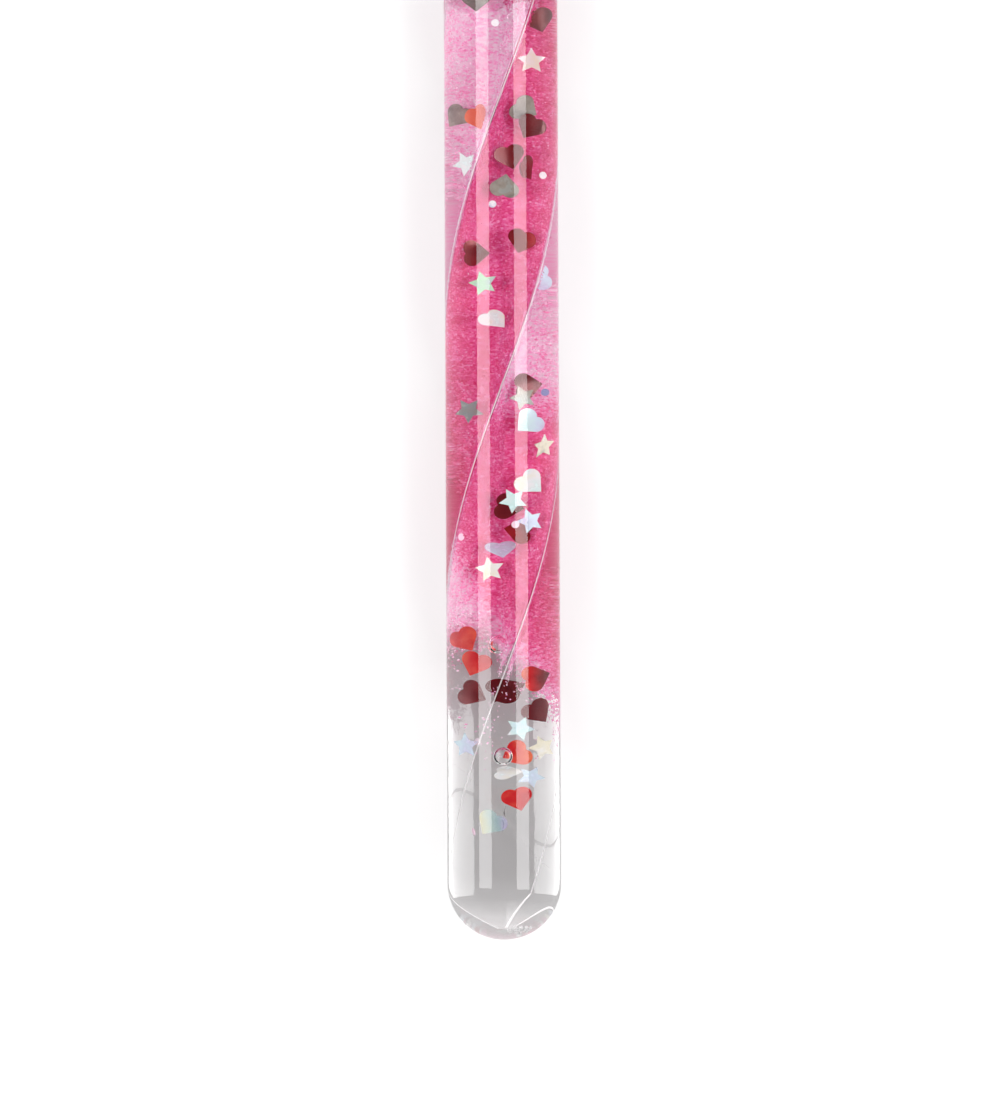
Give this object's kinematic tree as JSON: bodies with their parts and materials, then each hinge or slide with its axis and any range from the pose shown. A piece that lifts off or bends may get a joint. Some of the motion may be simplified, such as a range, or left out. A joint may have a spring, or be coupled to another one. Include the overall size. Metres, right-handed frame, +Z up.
{
  "type": "glitter wand",
  "caption": "Clear liquid-filled toy wand with a rounded end and a twisted finned insert; pink glitter and foil hearts and stars drift along its spiral channels.",
  "frame": {"origin": "bottom centre of the bounding box of the wand lying on its side", "axes": "+Y along the wand from the domed end to the cap, +Z up"},
  "size_m": [0.025, 0.3, 0.025],
  "materials": {
    "clear_tube": "clear, polished",
    "clear_insert": "clear, as extruded",
    "stopper_plastic": "smooth white",
    "pin_plastic": "smooth white",
    "clear_cap": "clear, polished",
    "clear_liquid": "clear thick liquid",
    "pink_glitter": "fine metallic flakes",
    "red_foil": "metallised film",
    "silver_foil": "holographic film",
    "star_foil": "holographic film",
    "pearl_foil": "pearl film",
    "grain_plastic": "fine grains"
  },
  "bodies": {
    "wand": {"tube": "clear_tube", "spiral_insert": "clear_insert", "stopper": "stopper_plastic", "fill_pin": "pin_plastic", "end_cap": "clear_cap", "liquid": "clear_liquid"},
    "swirl_a": {"grains_a": "grain_plastic"},
    "filling_a": {"glitter_a": "pink_glitter", "red_hearts_a": "red_foil", "silver_hearts_a": "silver_foil", "silver_stars_a": "star_foil", "pearl_dots_a": "pearl_foil"},
    "swirl_b": {"grains_b": "grain_plastic"},
    "filling_b": {"glitter_b": "pink_glitter", "red_hearts_b": "red_foil", "silver_hearts_b": "silver_foil", "silver_stars_b": "star_foil", "pearl_dots_b": "pearl_foil"},
    "swirl_c": {"grains_c": "grain_plastic"},
    "filling_c": {"glitter_c": "pink_glitter", "red_hearts_c": "red_foil", "silver_hearts_c": "silver_foil", "silver_stars_c": "star_foil", "pearl_dots_c": "pearl_foil"}
  },
  "joints": [
    {"name": "swirl_a", "type": "hinge", "parent": "wand", "child": "swirl_a", "pos_m": [0, 0, 0.0125], "axis": [0, 1, 0], "range_deg": [-16, 114], "deforming": ["liquid"]},
    {"name": "drift_a", "type": "slide", "parent": "swirl_a", "child": "filling_a", "axis": [0, 1, 0], "range_m": [-0.008, 0.06], "deforming": ["liquid"]},
    {"name": "swirl_b", "type": "hinge", "parent": "wand", "child": "swirl_b", "pos_m": [0, 0, 0.0125], "axis": [0, 1, 0], "range_deg": [-16, 114], "deforming": ["liquid"]},
    {"name": "drift_b", "type": "slide", "parent": "swirl_b", "child": "filling_b", "axis": [0, 1, 0], "range_m": [-0.008, 0.06], "deforming": ["liquid"]},
    {"name": "swirl_c", "type": "hinge", "parent": "wand", "child": "swirl_c", "pos_m": [0, 0, 0.0125], "axis": [0, 1, 0], "range_deg": [-16, 114], "deforming": ["liquid"]},
    {"name": "drift_c", "type": "slide", "parent": "swirl_c", "child": "filling_c", "axis": [0, 1, 0], "range_m": [-0.008, 0.06], "deforming": ["liquid"]}
  ],
  "couplings": [
    {"joint": "swirl_a", "follows": "drift_a", "rad_per_m": 33.069},
    {"joint": "swirl_b", "follows": "drift_b", "rad_per_m": 33.069},
    {"joint": "swirl_c", "follows": "drift_c", "rad_per_m": 33.069}
  ]
}
